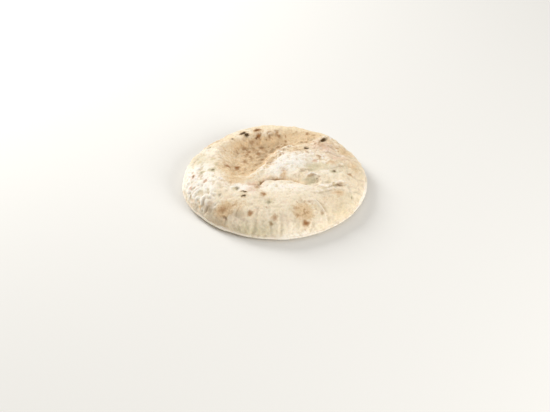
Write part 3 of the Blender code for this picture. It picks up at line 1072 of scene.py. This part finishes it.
@dataclass(frozen=True)
class Blisters:
    """Small raised bubbles strewn over the crust, with flat tops. Most of them are small.

    Each is worked out as far from its middle as its radius times the reach.
    """

    count: int = 190
    radii: tuple[float, float] = (1.4, 4.2)
    heights: tuple[float, float] = (0.08, 0.4)
    longest: float = 1.5
    small_bias: float = 1.7
    flat_top: Ease = Ease(0.25, 1.0)
    reach: float = 2.0
    spread: float = 98.0
    seed: int = 31

    def lift(self, x: np.ndarray, y: np.ndarray) -> np.ndarray:
        """Works out the blisters' relief.

        Args:
            x: Unrolled places along X.
            y: Unrolled places along Y.

        Returns:
            The height at each place.
        """
        draw = np.random.default_rng(self.seed)
        lifted = np.zeros_like(x)
        low, high = self.radii
        for _ in range(self.count):
            east, north = disc_place(draw)
            radius = low + (high - low) * draw.random() ** self.small_bias
            height = draw.uniform(*self.heights)
            length, turn = radius * draw.uniform(1.0, self.longest), draw.uniform(0.0, 180.0)
            oval = Oval(self.spread * east, self.spread * north, length, radius, turn)
            near = np.hypot(x - oval.x, y - oval.y) < self.reach * radius
            blister = height * (1.0 - self.flat_top.at(oval.reach(x[near], y[near])))
            lifted[near] = np.maximum(lifted[near], blister)
        return lifted


@dataclass(frozen=True)
class Pores:
    """Pin-sized pits where gas broke through the skin, each worked out as far as the blisters are."""

    count: int = 900
    radii: tuple[float, float] = (0.5, 1.2)
    depths: tuple[float, float] = (0.1, 0.35)
    reach: float = 2.5
    spread: float = 99.0
    seed: int = 32

    def sunk(self, x: np.ndarray, y: np.ndarray) -> np.ndarray:
        """Works out the pits' relief.

        Args:
            x: Unrolled places along X.
            y: Unrolled places along Y.

        Returns:
            The depth at each place.
        """
        draw = np.random.default_rng(self.seed)
        sunk = np.zeros_like(x)
        for _ in range(self.count):
            east, north = disc_place(draw)
            radius, depth = draw.uniform(*self.radii), draw.uniform(*self.depths)
            gap = np.hypot(x - self.spread * east, y - self.spread * north)
            near = gap < self.reach * radius
            sunk[near] += depth * np.exp(-((gap[near] / radius) ** 2))
        return sunk


@dataclass(frozen=True)
class SkinPatch:
    """One kind of uneven skin: its grain, where it is strongest and how much of it is left elsewhere."""

    grain: Grain
    places: tuple[Oval, ...] = ()
    elsewhere: float = 1.0

    def lift(self, points: np.ndarray) -> np.ndarray:
        """Works out the skin's relief.

        Args:
            points: The plain loaf's points.

        Returns:
            The height at each point.
        """
        x, y, _ = points.T
        share = np.full(len(points), self.elsewhere)
        for place in self.places:
            share = np.maximum(share, place.fading(x, y))
        return share * self.grain.values(points)


@dataclass(frozen=True)
class Ribs:
    """Fine ribs of stretched skin side by side over an oval, along its length."""

    place: Oval = Oval(-6, 8, 26, 9, 56)
    along: float = 12.0
    across: float = 2.6
    grain: Grain = Grain(1.0, 1.4, 2, 53)

    def lift(self, points: np.ndarray) -> np.ndarray:
        """Works out the ribs' relief.

        Args:
            points: The plain loaf's points.

        Returns:
            The height at each point.
        """
        x, y, _ = points.T
        along, across = turned(x, y, self.place.turn)
        rows = np.column_stack([along / self.along, across / self.across, np.zeros_like(x)])
        return self.grain.values(rows) * self.place.fading(x, y)


@dataclass(frozen=True)
class CrustSkin:
    """The skin's relief over the plain form."""

    form: LoafForm
    marks: OvenMarksAndPaintedShade
    folds: Folds
    lumps: Grain = Grain(26, 1.3, 3, 1)
    patches: tuple[SkinPatch, ...] = (
        SkinPatch(Grain(5.5, 0.5, 2, 2)),
        SkinPatch(Grain(7.5, 0.7, 2, 4, True), (Oval(-72, -12, 22, 52, 8), Oval(-60, 40, 22, 18, 30)), 0.2),
        SkinPatch(Grain(5.0, 0.5, 2, 7, True), (Oval(20, 8, 34, 24, 25),), 0.25),
        SkinPatch(Grain(11, 0.9, 2, 8, True), (Oval(64, 6, 28, 44), Oval(50, 40, 26, 16)), 0.15),
        SkinPatch(Grain(3.6, 1.0, 2, 12), (Oval(36, -23, 7, 7),), 0.0),
        SkinPatch(Grain(8.0, 1.5, 2, 13), (Oval(-1, 13, 36, 9, 56),), 0.0),
        SkinPatch(Grain(2.3, 0.36, 2, 5)),
    )
    ribs: Ribs = Ribs()
    wrinkles: tuple[WallWrinkles, ...] = (
        WallWrinkles(212, 17, 5.0, 20, 0.6, 51),
        WallWrinkles(250, 36, 5.0, 60, 0.75, 52, curdled=False),
        WallWrinkles(258, 40, 3.6, 44, 0.55, 54, curdled=False),
    )
    blisters: Blisters = Blisters()
    pores: Pores = Pores()
    mark_slope: Ease = Ease(0.2, 1.4)
    seam_fade: Ease = Ease(-1.0, 4.0)
    base_grain: Grain = Grain(9, 0.5, 3, 6)
    base_sink: float = 0.15

    def relief(self, points: np.ndarray, on_top: np.ndarray) -> tuple[np.ndarray, np.ndarray]:
        """Works out the relief of the whole loaf.

        Args:
            points: The plain loaf's points.
            on_top: Which points belong to the upper crust and the lip.

        Returns:
            The height along the normals, and the fine part of it alone, about -1 to 1, for shading.
        """
        x, y, z = points.T
        share = np.hypot(x, y) / self.form.rim.outline(np.arctan2(y, x))
        unrolling = Unrolling(self.form)
        flat_x, flat_y = unrolling.plan(x, y)
        fine = sum(patch.lift(points) for patch in self.patches) + self.ribs.lift(points)
        fine += sum(wrinkle.lift(flat_x, flat_y, share) for wrinkle in self.wrinkles)
        fine += self.blisters.lift(flat_x, flat_y) - self.pores.sunk(flat_x, flat_y)
        for mark in self.marks.on_crust(unrolling):
            if mark.lift:
                fine += mark.lift * (1.0 - self.mark_slope.at(mark.place.reach(flat_x, flat_y)))
        coarse = self.lumps.values(points) + self.folds.lift(points)
        crust = (coarse + fine) * self.seam_fade.at(z - self.form.seam_height)
        underside = np.minimum(self.base_grain.values(points) - self.base_sink, 0.0)
        return np.where(on_top, crust, underside), np.clip(fine, -1.0, 1.0)


@dataclass(frozen=True)
class Ring:
    """One ring of the loaf's mesh: its rows of points, and whether it is of the upper crust or the lip."""

    points: np.ndarray
    on_top: bool


@dataclass(frozen=True)
class LoafMesh:
    """The loaf's mesh as rings, which start from the most points and halve them towards the middle."""

    form: LoafForm
    most: int = 720
    fewest: int = 45
    shortest_arc: float = 0.38
    crown_step: float = 0.68
    wall_rings: int = 34
    wall_from: float = 0.9
    wall_crowding: float = 2.2
    lip_rings: int = 5
    base_margin: float = 0.04
    base_outer_step: float = 1.1
    base_inner_step: float = 2.4
    base_smallest: float = 0.03

    def _angles(self, share: float, most: int) -> np.ndarray:
        """Spaces a ring's angles, halving their count until the arcs are long enough.

        Args:
            share: The ring's share of the wall's radius.
            most: The count to start from.

        Returns:
            The angles in radians.
        """
        count = most
        length = 2.0 * math.pi * share * self.form.rim.radius
        while count > self.fewest and length / count < self.shortest_arc:
            count //= 2
        return np.arange(count) * 2.0 * math.pi / count

    def _crust_shares(self) -> list[float]:
        """Spaces the rings of the upper crust, evenly on the crown and crowded towards the wall's foot.

        Returns:
            Each ring's share of the wall's radius.
        """
        crown_rings = round(self.wall_from * self.form.rim.radius / self.crown_step)
        crown = [self.wall_from * step / crown_rings for step in range(1, crown_rings + 1)]
        left = (1.0 - step / self.wall_rings for step in range(1, self.wall_rings + 1))
        return crown + [1.0 - (1.0 - self.wall_from) * part**self.wall_crowding for part in left]

    def rings(self) -> list[Ring]:
        """Lists the rings.

        Returns:
            The rings from the middle of the top to the middle of the base.
        """
        form = self.form
        made = []
        for share in self._crust_shares():
            made.append(Ring(form.crust_ring(share, self._angles(share, self.most)), True))
        for step in range(1, self.lip_rings + 1):
            turn = math.pi / 2 - math.pi * step / (self.lip_rings + 1)
            made.append(Ring(form.lip_ring(turn, self._angles(1.0, self.most)), True))
        share = 1.0
        while share > self.base_smallest:
            outer = share > form.flat_base - self.base_margin
            most = self.most // 2 if outer else self.most // 4
            made.append(Ring(form.base_ring(share, self._angles(share, most)), False))
            share -= (self.base_outer_step if outer else self.base_inner_step) / form.rim.radius
        return made

    @staticmethod
    def _join(first: int, first_count: int, second: int, second_count: int) -> list[tuple[int, ...]]:
        """Joins two rings, from the one nearer the top's middle.

        Args:
            first: The index of the first ring's first point.
            first_count: How many points the first ring has.
            second: The index of the second ring's first point.
            second_count: How many points the second ring has.

        Returns:
            The faces, which look outwards.
        """
        fewer, more = min(first_count, second_count), max(first_count, second_count)
        faces = []
        for i in range(fewer):
            j = (i + 1) % fewer
            fine = [2 * i, 2 * i + 1, (2 * i + 2) % more]
            if first_count == second_count:
                faces.append((first + i, second + i, second + j, first + j))
            elif second_count == fewer:
                a, b, c = (first + k for k in fine)
                faces += [(a, second + i, b), (b, second + i, second + j), (b, second + j, c)]
            else:
                a, b, c = (second + k for k in fine)
                faces += [(first + i, a, b), (first + i, b, first + j), (first + j, b, c)]
        return faces

    def build(self, name: str) -> tuple[bpy.types.Object, np.ndarray]:
        """Builds the plain loaf, in metres.

        Args:
            name: The new object's name.

        Returns:
            The object, and which of its points belong to the upper crust and the lip.
        """
        rings = self.rings()
        middle = Ring(self.form.crust_ring(0.0, np.zeros(1)), True)
        parts = [middle, *rings, Ring(np.zeros((1, 3)), False)]
        on_top = np.concatenate([np.full(len(ring.points), ring.on_top) for ring in parts])
        start, count = 1, len(rings[0].points)
        faces = [(0, start + i, start + (i + 1) % count) for i in range(count)]
        for ring, following in zip(rings, rings[1:]):
            count = len(ring.points)
            faces += self._join(start, count, start + count, len(following.points))
            start += count
        count = len(rings[-1].points)
        faces += [(start + i, start + count, start + (i + 1) % count) for i in range(count)]
        mesh = bpy.data.meshes.new(name)
        mesh.from_pydata((np.concatenate([ring.points for ring in parts]) * MM).tolist(), [], faces)
        mesh.update()
        mesh.shade_smooth()
        return stand(name, mesh), on_top


@dataclass(frozen=True)
class Speckle:
    """A noise in a material: its size across, its detail and its roughness."""

    size: float
    detail: float
    roughness: float


class ShaderBench:
    """Adds nodes to one material and joins them."""

    def __init__(self, name: str) -> None:
        """Starts a material with a Principled shader.

        Args:
            name: The material's name.
        """
        self.material = bpy.data.materials.new(name)
        self.material.use_nodes = True
        self.tree = self.material.node_tree
        self.shader = self.tree.nodes["Principled BSDF"].inputs
        self.place = self.tree.nodes.new("ShaderNodeTexCoord").outputs["Object"]

    def feed(self, socket: bpy.types.NodeSocket, value: object) -> None:
        """Joins a socket to another one, or sets its value.

        Args:
            socket: The socket to feed.
            value: Another socket, or a number or colour.
        """
        if isinstance(value, bpy.types.NodeSocket):
            self.tree.links.new(value, socket)
        else:
            socket.default_value = value

    def add(self, kind: str, output: int | str, inputs: Inputs, **settings: str) -> bpy.types.NodeSocket:
        """Adds a node.

        Args:
            kind: The node's kind.
            output: Which of its outputs to give back.
            inputs: What to feed to each of its inputs, by number or name.
            **settings: What to set on the node itself.

        Returns:
            The output.
        """
        node = self.tree.nodes.new("ShaderNode" + kind)
        for name, value in settings.items():
            setattr(node, name, value)
        for socket, value in inputs.items():
            self.feed(node.inputs[socket], value)
        return node.outputs[output]

    def attribute(self, name: str) -> bpy.types.NodeSocket:
        """Reads a point attribute."""
        return self.add("Attribute", "Fac", {}, attribute_name=name)

    def noise(self, speckle: Speckle) -> bpy.types.NodeSocket:
        """Makes a noise over the object, from 0 to 1."""
        values = {"Scale": 1.0 / (speckle.size * MM), "Detail": speckle.detail}
        return self.add("TexNoise", "Fac", {"Vector": self.place, "Roughness": speckle.roughness, **values})

    def math(self, operation: str, first: object, second: object) -> bpy.types.NodeSocket:
        """Works out one operation on two numbers."""
        return self.add("Math", 0, {0: first, 1: second}, operation=operation)

    def step(self, value: object, ease: Ease) -> bpy.types.NodeSocket:
        """Eases an amount in over a number."""
        ends = {"From Min": ease.low, "From Max": ease.high, "To Max": ease.amount}
        return self.add("MapRange", "Result", {"Value": value, **ends}, interpolation_type="SMOOTHSTEP")

    def mix(self, share: object, under: object, over: object) -> bpy.types.NodeSocket:
        """Lays one colour over another by a share."""
        return self.add("Mix", 2, {0: share, 6: under, 7: over}, data_type="RGBA")

    def blend(self, share: object, under: object, over: object) -> bpy.types.NodeSocket:
        """Lays one number over another by a share."""
        return self.add("Mix", 0, {0: share, 2: under, 3: over}, data_type="FLOAT")

    def bump(self, height: object, strength: float, distance: float) -> bpy.types.NodeSocket:
        """Turns a height from 0 to 1 into normals, with bumps as high as the distance."""
        values = {"Strength": strength, "Distance": distance * MM}
        return self.add("Bump", "Normal", {"Height": height, **values})


@dataclass(frozen=True)
class RaggedTone:
    """How the material reads a tone: how far the grain moves its edge, and how its share comes in."""

    tone: Tone
    raggedness: float
    ease: Ease

    def share(self, bench: ShaderBench, sway: bpy.types.NodeSocket) -> bpy.types.NodeSocket:
        """Gives the tone's share, with an edge that follows the grain."""
        moved = bench.math("MULTIPLY", sway, self.raggedness)
        return bench.step(bench.math("ADD", bench.attribute(self.tone.value), moved), self.ease)


@dataclass(frozen=True)
class CrustFinish:
    """The crust's colours, its painted shade, dullness and fine grain."""

    dough: Colour = srgb(244, 230, 205)
    dough_warm: Colour = srgb(240, 216, 174)
    flour: Colour = srgb(254, 247, 235)
    # Greyish damp dough, also used as painted shade in hollows, in the pocket and on the front wall.
    damp_and_shade: Colour = srgb(212, 200, 166)
    blush: Colour = srgb(222, 188, 162)
    toast: Colour = srgb(229, 201, 161)
    toast_deep: Colour = srgb(199, 166, 124)
    brown: Colour = srgb(150, 101, 54)
    char: Colour = srgb(78, 56, 26)
    # Painted shade in the hollows of the fine relief.
    painted_hollow_shade: Colour = srgb(210, 194, 168)
    mottled: Colour = srgb(224, 200, 166)
    # The colour of the painted shade.
    painted_shade: Colour = srgb(176, 150, 118)
    fine: Speckle = Speckle(0.9, 4.0, 0.6)
    speck: Speckle = Speckle(1.7, 2.0, 0.6)
    mottle: Speckle = Speckle(3.2, 4.0, 0.6)
    patchy: Speckle = Speckle(7.0, 5.0, 0.6)
    cloud: Speckle = Speckle(14.0, 3.0, 0.5)
    fine_sway: float = 0.5
    tones: tuple[RaggedTone, ...] = (
        RaggedTone(Tone.FLOUR, 1.2, Ease(0.1, 0.8)),
        RaggedTone(Tone.DAMP_AND_SHADE, 0.8, Ease(0.1, 1.0)),
        RaggedTone(Tone.BLUSH, 1.2, Ease(0.15, 0.95)),
        RaggedTone(Tone.TOAST, 1.1, Ease(0.12, 0.85)),
        RaggedTone(Tone.BROWN, 0.4, Ease(0.08, 1.15)),
        RaggedTone(Tone.CHAR, 0.5, Ease(0.25, 1.0)),
    )
    warm_clouds: Ease = Ease(0.4, 0.75, 0.35)
    damp_clouds: Ease = Ease(0.52, 0.72, 0.35)
    blush_clouds: Ease = Ease(0.46, 0.3, 0.4)
    # How the painted hollow shade comes in as the fine relief sinks.
    hollows: Ease = Ease(0.05, -0.5, 0.5)
    flour_stays: Ease = Ease(-0.6, 0.1)
    flour_covers: float = 0.5
    toast_deepens: Ease = Ease(0.5, 0.75, 0.8)
    toast_specks: Ease = Ease(0.55, 0.72, 0.3)
    mottling: Ease = Ease(0.54, 0.7, 0.45)
    flour_specks: Ease = Ease(0.4, 0.26, 0.35)
    dark_specks: Ease = Ease(0.6, 0.75, 0.22)
    painted_shade_darkens: Ease = Ease(0.05, 1.0, 0.85)
    dull: float = 0.82
    floury_dull: float = 0.95
    baked_dull: float = 0.75
    specular: float = 0.18
    subsurface: float = 0.08
    subsurface_scale: float = 2.5
    subsurface_radius: tuple[float, float, float] = (1.0, 0.6, 0.35)
    bump_strength: float = 0.6
    bump_height: float = 0.45
    mottle_bump: float = 1.6

    def material(self) -> bpy.types.Material:
        """Builds the crust's material, which reads the loaf's point attributes.

        Returns:
            The material.
        """
        bench = ShaderBench("baked_crust")
        speckles = (self.fine, self.mottle, self.cloud, self.patchy, self.speck)
        fine, mottle, cloud, patchy, speck = (bench.noise(speckle) for speckle in speckles)
        fine_sway, mottle_sway = (bench.math("SUBTRACT", grain, 0.5) for grain in (fine, mottle))
        sway = bench.math("ADD", bench.math("MULTIPLY", fine_sway, self.fine_sway), mottle_sway)
        shares = {ragged.tone: ragged.share(bench, sway) for ragged in self.tones}
        toast, height = shares[Tone.TOAST], bench.attribute(RELIEF)
        warm = bench.math("ADD", bench.attribute(Tone.WARM.value), bench.step(cloud, self.warm_clouds))
        flour = bench.math("MULTIPLY", shares[Tone.FLOUR], bench.step(height, self.flour_stays))
        bare = bench.math("SUBTRACT", 1.0, bench.math("MULTIPLY", flour, self.flour_covers))
        colour = self.dough
        for share, over in (
            (bench.math("MINIMUM", warm, 1.0), self.dough_warm),
            (bench.step(patchy, self.damp_clouds), self.damp_and_shade),
            (bench.step(patchy, self.blush_clouds), self.blush),
            # Painted shade where the fine relief sinks.
            (bench.step(height, self.hollows), self.painted_hollow_shade),
            (flour, self.flour),
            (shares[Tone.DAMP_AND_SHADE], self.damp_and_shade),
            (shares[Tone.BLUSH], self.blush),
            (toast, self.toast),
            (bench.math("MULTIPLY", toast, bench.step(mottle, self.toast_deepens)), self.toast_deep),
            (bench.math("MULTIPLY", toast, bench.step(speck, self.toast_specks)), self.brown),
            (bench.math("MULTIPLY", bench.step(mottle, self.mottling), bare), self.mottled),
            (bench.step(speck, self.flour_specks), self.flour),
            (bench.step(speck, self.dark_specks), self.toast_deep),
            # Painted shade.
            (bench.step(bench.attribute(Tone.PAINTED_SHADE.value), self.painted_shade_darkens), self.painted_shade),
            (shares[Tone.BROWN], self.brown),
            (shares[Tone.CHAR], self.char),
        ):
            colour = bench.mix(share, colour, over)
        bench.feed(bench.shader["Base Color"], colour)
        dullness = bench.blend(flour, self.dull, self.floury_dull)
        dullness = bench.blend(bench.math("MAXIMUM", toast, shares[Tone.BROWN]), dullness, self.baked_dull)
        bench.feed(bench.shader["Roughness"], dullness)
        grain = bench.math("ADD", bench.math("MULTIPLY", mottle, self.mottle_bump), fine)
        bench.feed(bench.shader["Normal"], bench.bump(grain, self.bump_strength, self.bump_height))
        bench.feed(bench.shader["Specular IOR Level"], self.specular)
        bench.feed(bench.shader["Subsurface Weight"], self.subsurface)
        bench.feed(bench.shader["Subsurface Radius"], self.subsurface_radius)
        bench.feed(bench.shader["Subsurface Scale"], self.subsurface_scale * MM)
        return bench.material


@dataclass(frozen=True)
class Loaf:
    """The pita bread: its mesh, skin, marks and finish."""

    name: str = "pita_loaf"
    form: LoafForm = LoafForm()
    marks: OvenMarksAndPaintedShade = OvenMarksAndPaintedShade()
    folds: Folds = Folds()
    finish: CrustFinish = CrustFinish()
    edge_warp: tuple[Grain, Grain] = (Grain(3.4, 1.2, 3, 41), Grain(3.4, 1.2, 3, 42))
    stain_warp: float = 0.5
    fold_warp: float = 0.4
    foot: Ease = Ease(3.8, 7.0)
    foot_flour: float = 0.55
    foot_cleared: float = 0.85

    @staticmethod
    def _rows(mesh: bpy.types.Mesh, kind: str) -> np.ndarray:
        """Reads the mesh's points or normals.

        Args:
            mesh: The mesh.
            kind: Which of a vertex's values to read.

        Returns:
            A row of three for each vertex.
        """
        values = np.empty(len(mesh.vertices) * 3, np.float32)
        mesh.vertices.foreach_get(kind, values)
        return values.reshape(-1, 3).astype(float)

    @staticmethod
    def _lay(
        tones: dict[Tone, np.ndarray], marks: list[Mark], here: np.ndarray, x: np.ndarray, y: np.ndarray
    ) -> None:
        """Lays marks over the tones.

        Args:
            tones: Each tone's share at each point, which this changes.
            marks: The marks.
            here: Which points the marks may reach.
            x: Where the points lie along X for these marks.
            y: Where they lie along Y.
        """
        for mark in marks:
            place = mark.place
            widest = mark.edge * max(place.length, place.width)
            near = here & (np.abs(x - place.x) < widest) & (np.abs(y - place.y) < widest)
            reach = place.reach(x[near], y[near])
            share = mark.strength * (1.0 - soft_step(reach, mark.core, mark.edge))
            tones[mark.tone][near] = np.maximum(tones[mark.tone][near], share)

    def _tones(self, points: np.ndarray, on_top: np.ndarray) -> dict[Tone, np.ndarray]:
        """Works out the tones.

        Args:
            points: The plain loaf's points.
            on_top: Which points belong to the upper crust and the lip.

        Returns:
            Each tone's share at each point.
        """
        x, y, z = points.T
        unrolling = Unrolling(self.form)
        flat_x, flat_y = unrolling.plan(x, y)
        warp_x, warp_y = (grain.values(points) for grain in self.edge_warp)
        tones = {tone: np.zeros(len(points)) for tone in Tone}
        self._lay(tones, self.marks.on_crust(unrolling), on_top, flat_x + warp_x, flat_y + warp_y)
        self._lay(tones, self.marks.on_base(), ~on_top, x + warp_x, y + warp_y)
        stain_x, stain_y = x + self.stain_warp * warp_x, y + self.stain_warp * warp_y
        # The folds lay a painted highlight on their crests, as flour, and painted shade in their lees.
        crest_highlight, painted_shade = self.folds.tones(points, self.fold_warp * warp_x, self.fold_warp * warp_y)
        at_foot = 1.0 - self.foot.at(z)
        for tone, share in (
            *((stain.tone, stain.share(stain_x, stain_y)) for stain in self.marks.stains),
            (Tone.FLOUR, crest_highlight),
            (Tone.PAINTED_SHADE, painted_shade),
            (Tone.FLOUR, self.foot_flour * at_foot),
            (Tone.TOAST, self.marks.basin_tan.share(self.form, x + warp_x, y + warp_y)),
        ):
            tones[tone] = np.maximum(tones[tone], np.where(on_top, share, 0.0))
        for tone in (Tone.TOAST, Tone.PAINTED_SHADE, Tone.DAMP_AND_SHADE):
            tones[tone] *= np.where(on_top, 1.0 - self.foot_cleared * at_foot, 1.0)
        return tones

    def build(self) -> bpy.types.Object:
        """Builds the loaf and stands it where its solid is.

        Returns:
            The finished piece.
        """
        loaf, on_top = LoafMesh(self.form).build(self.name)
        mesh = loaf.data
        points = self._rows(mesh, "co")
        heights, fine = CrustSkin(self.form, self.marks, self.folds).relief(points / MM, on_top)
        tones = self._tones(points / MM, on_top)
        for name, values in (*((tone.value, share) for tone, share in tones.items()), (RELIEF, fine)):
            mesh.attributes.new(name, "FLOAT", "POINT").data.foreach_set("value", values.astype(np.float32))
        points += self._rows(mesh, "normal") * heights[:, None] * MM
        low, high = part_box(NODE)
        points[:, 2] = np.maximum(points[:, 2] - points[:, 2].min() + low.z, low.z)
        middle = (points[:, :2].min(axis=0) + points[:, :2].max(axis=0)) / 2
        points[:, :2] += np.array([(low.x + high.x) / 2, (low.y + high.y) / 2]) - middle
        mesh.vertices.foreach_set("co", points.astype(np.float32).ravel())
        mesh.update()
        mesh.materials.append(self.finish.material())
        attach(loaf, BODY)
        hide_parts(NODE)
        return loaf


@dataclass(frozen=True)
class SoftBox:
    """A square studio lamp aimed at the loaf. Its place and size are metres and its power watts."""

    name: str
    place: tuple[float, float, float]
    power: float
    size: float = 0.6

    def build(self) -> bpy.types.Object:
        """Hangs the lamp.

        Returns:
            The lamp.
        """
        light = bpy.data.lights.new(self.name, "AREA")
        light.energy = self.power
        light.size = self.size
        lamp = stand(self.name, light)
        aim(lamp, Vector(self.place), -Vector(self.place))
        lamp.visible_camera = False
        return lamp


@dataclass(frozen=True)
class Viewpoint:
    """The camera in front of the loaf. Its distance and aim are metres."""

    name: str = "viewpoint"
    elevation: float = 37.5
    distance: float = 1.10
    aim_y: float = -0.0325
    sensor: float = 36.0
    lens: float = 74.7

    def build(self) -> bpy.types.Object:
        """Stands the camera and makes it the scene's.

        Returns:
            The camera.
        """
        rise = math.radians(self.elevation)
        back = Vector((0.0, -math.cos(rise), math.sin(rise)))
        camera = stand(self.name, bpy.data.cameras.new(self.name))
        camera.data.sensor_width = self.sensor
        camera.data.lens = self.lens
        aim(camera, Vector((0.0, self.aim_y, 0.0)) + back * self.distance, -back)
        bpy.context.scene.camera = camera
        return camera


@dataclass(frozen=True)
class Studio:
    """A plain pale floor, a bright even surround, one soft key from behind and a fill from the front."""

    floor_half: float = 4.0
    floor_colour: Colour = srgb(238, 236, 231)
    floor_dull: float = 0.9
    surround: Colour = (1.0, 0.985, 0.96, 1.0)
    surround_strength: float = 0.455
    lamps: tuple[SoftBox, ...] = (
        SoftBox("key", (-0.874, 0.874, 0.657), 17.5),
        SoftBox("fill", (1.0, -0.78, 0.60), 11.3),
    )

    def _floor(self) -> bpy.types.Object:
        """Lays the floor that the loaf stands on.

        Returns:
            The floor.
        """
        mesh = bpy.data.meshes.new("floor")
        half = self.floor_half
        corners = [(-half, -half, 0), (half, -half, 0), (half, half, 0), (-half, half, 0)]
        mesh.from_pydata(corners, [], [(0, 1, 2, 3)])
        floor = stand("floor", mesh)
        bench = ShaderBench("pale_floor")
        bench.feed(bench.shader["Base Color"], self.floor_colour)
        bench.feed(bench.shader["Roughness"], self.floor_dull)
        mesh.materials.append(bench.material)
        return floor

    def _surround(self) -> None:
        """Wraps the scene in even light."""
        world = bpy.data.worlds.new("surround")
        world.use_nodes = True
        shader = world.node_tree.nodes["Background"]
        shader.inputs["Color"].default_value = self.surround
        shader.inputs["Strength"].default_value = self.surround_strength
        bpy.context.scene.world = world

    def build(self) -> list[bpy.types.Object]:
        """Builds the floor, the surround and the lamps.

        Returns:
            The floor and the lamps.
        """
        self._surround()
        bpy.context.scene.view_settings.view_transform = "Standard"
        return [self._floor(), *(lamp.build() for lamp in self.lamps)]


def main() -> None:
    """Builds the studio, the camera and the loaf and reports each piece."""
    logging.basicConfig(level=logging.INFO, format="%(name)s: %(message)s")
    for piece in (*Studio().build(), Viewpoint().build(), Loaf().build()):
        points = len(piece.data.vertices) if piece.type == "MESH" else 0
        LOG.info("%s: %s, %d points", piece.name, piece.type.lower(), points)


if __name__ == "__main__":
    main()
